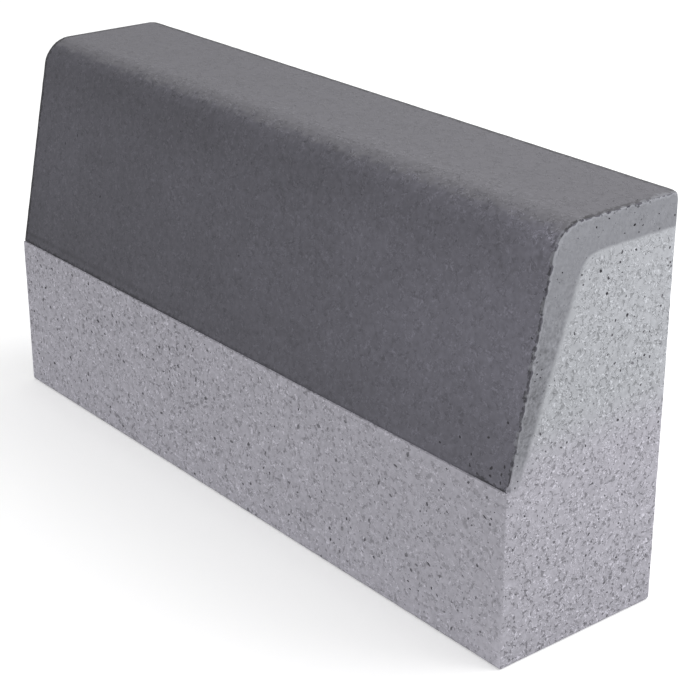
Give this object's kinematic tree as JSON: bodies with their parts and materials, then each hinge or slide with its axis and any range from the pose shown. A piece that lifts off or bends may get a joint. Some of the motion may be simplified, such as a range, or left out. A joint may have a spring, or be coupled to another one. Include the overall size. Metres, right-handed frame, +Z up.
{
  "type": "concrete kerb stone",
  "caption": "Straight two-layer concrete kerb stone: upright plinth, battered front, rounded nose and level top, with darker facing concrete on batter and top.",
  "frame": {"origin": "middle of the base, on the surface that the stone stands on", "axes": "+X along the stone, +Z up, and the battered, faced front looks to -Y"},
  "size_m": [0.5, 0.12, 0.25],
  "materials": {
    "backing_concrete": "matte",
    "facing_layer": "matte"
  },
  "bodies": {
    "root": {"backing_concrete": "backing_concrete", "facing_layer": "facing_layer"}
  },
  "joints": []
}
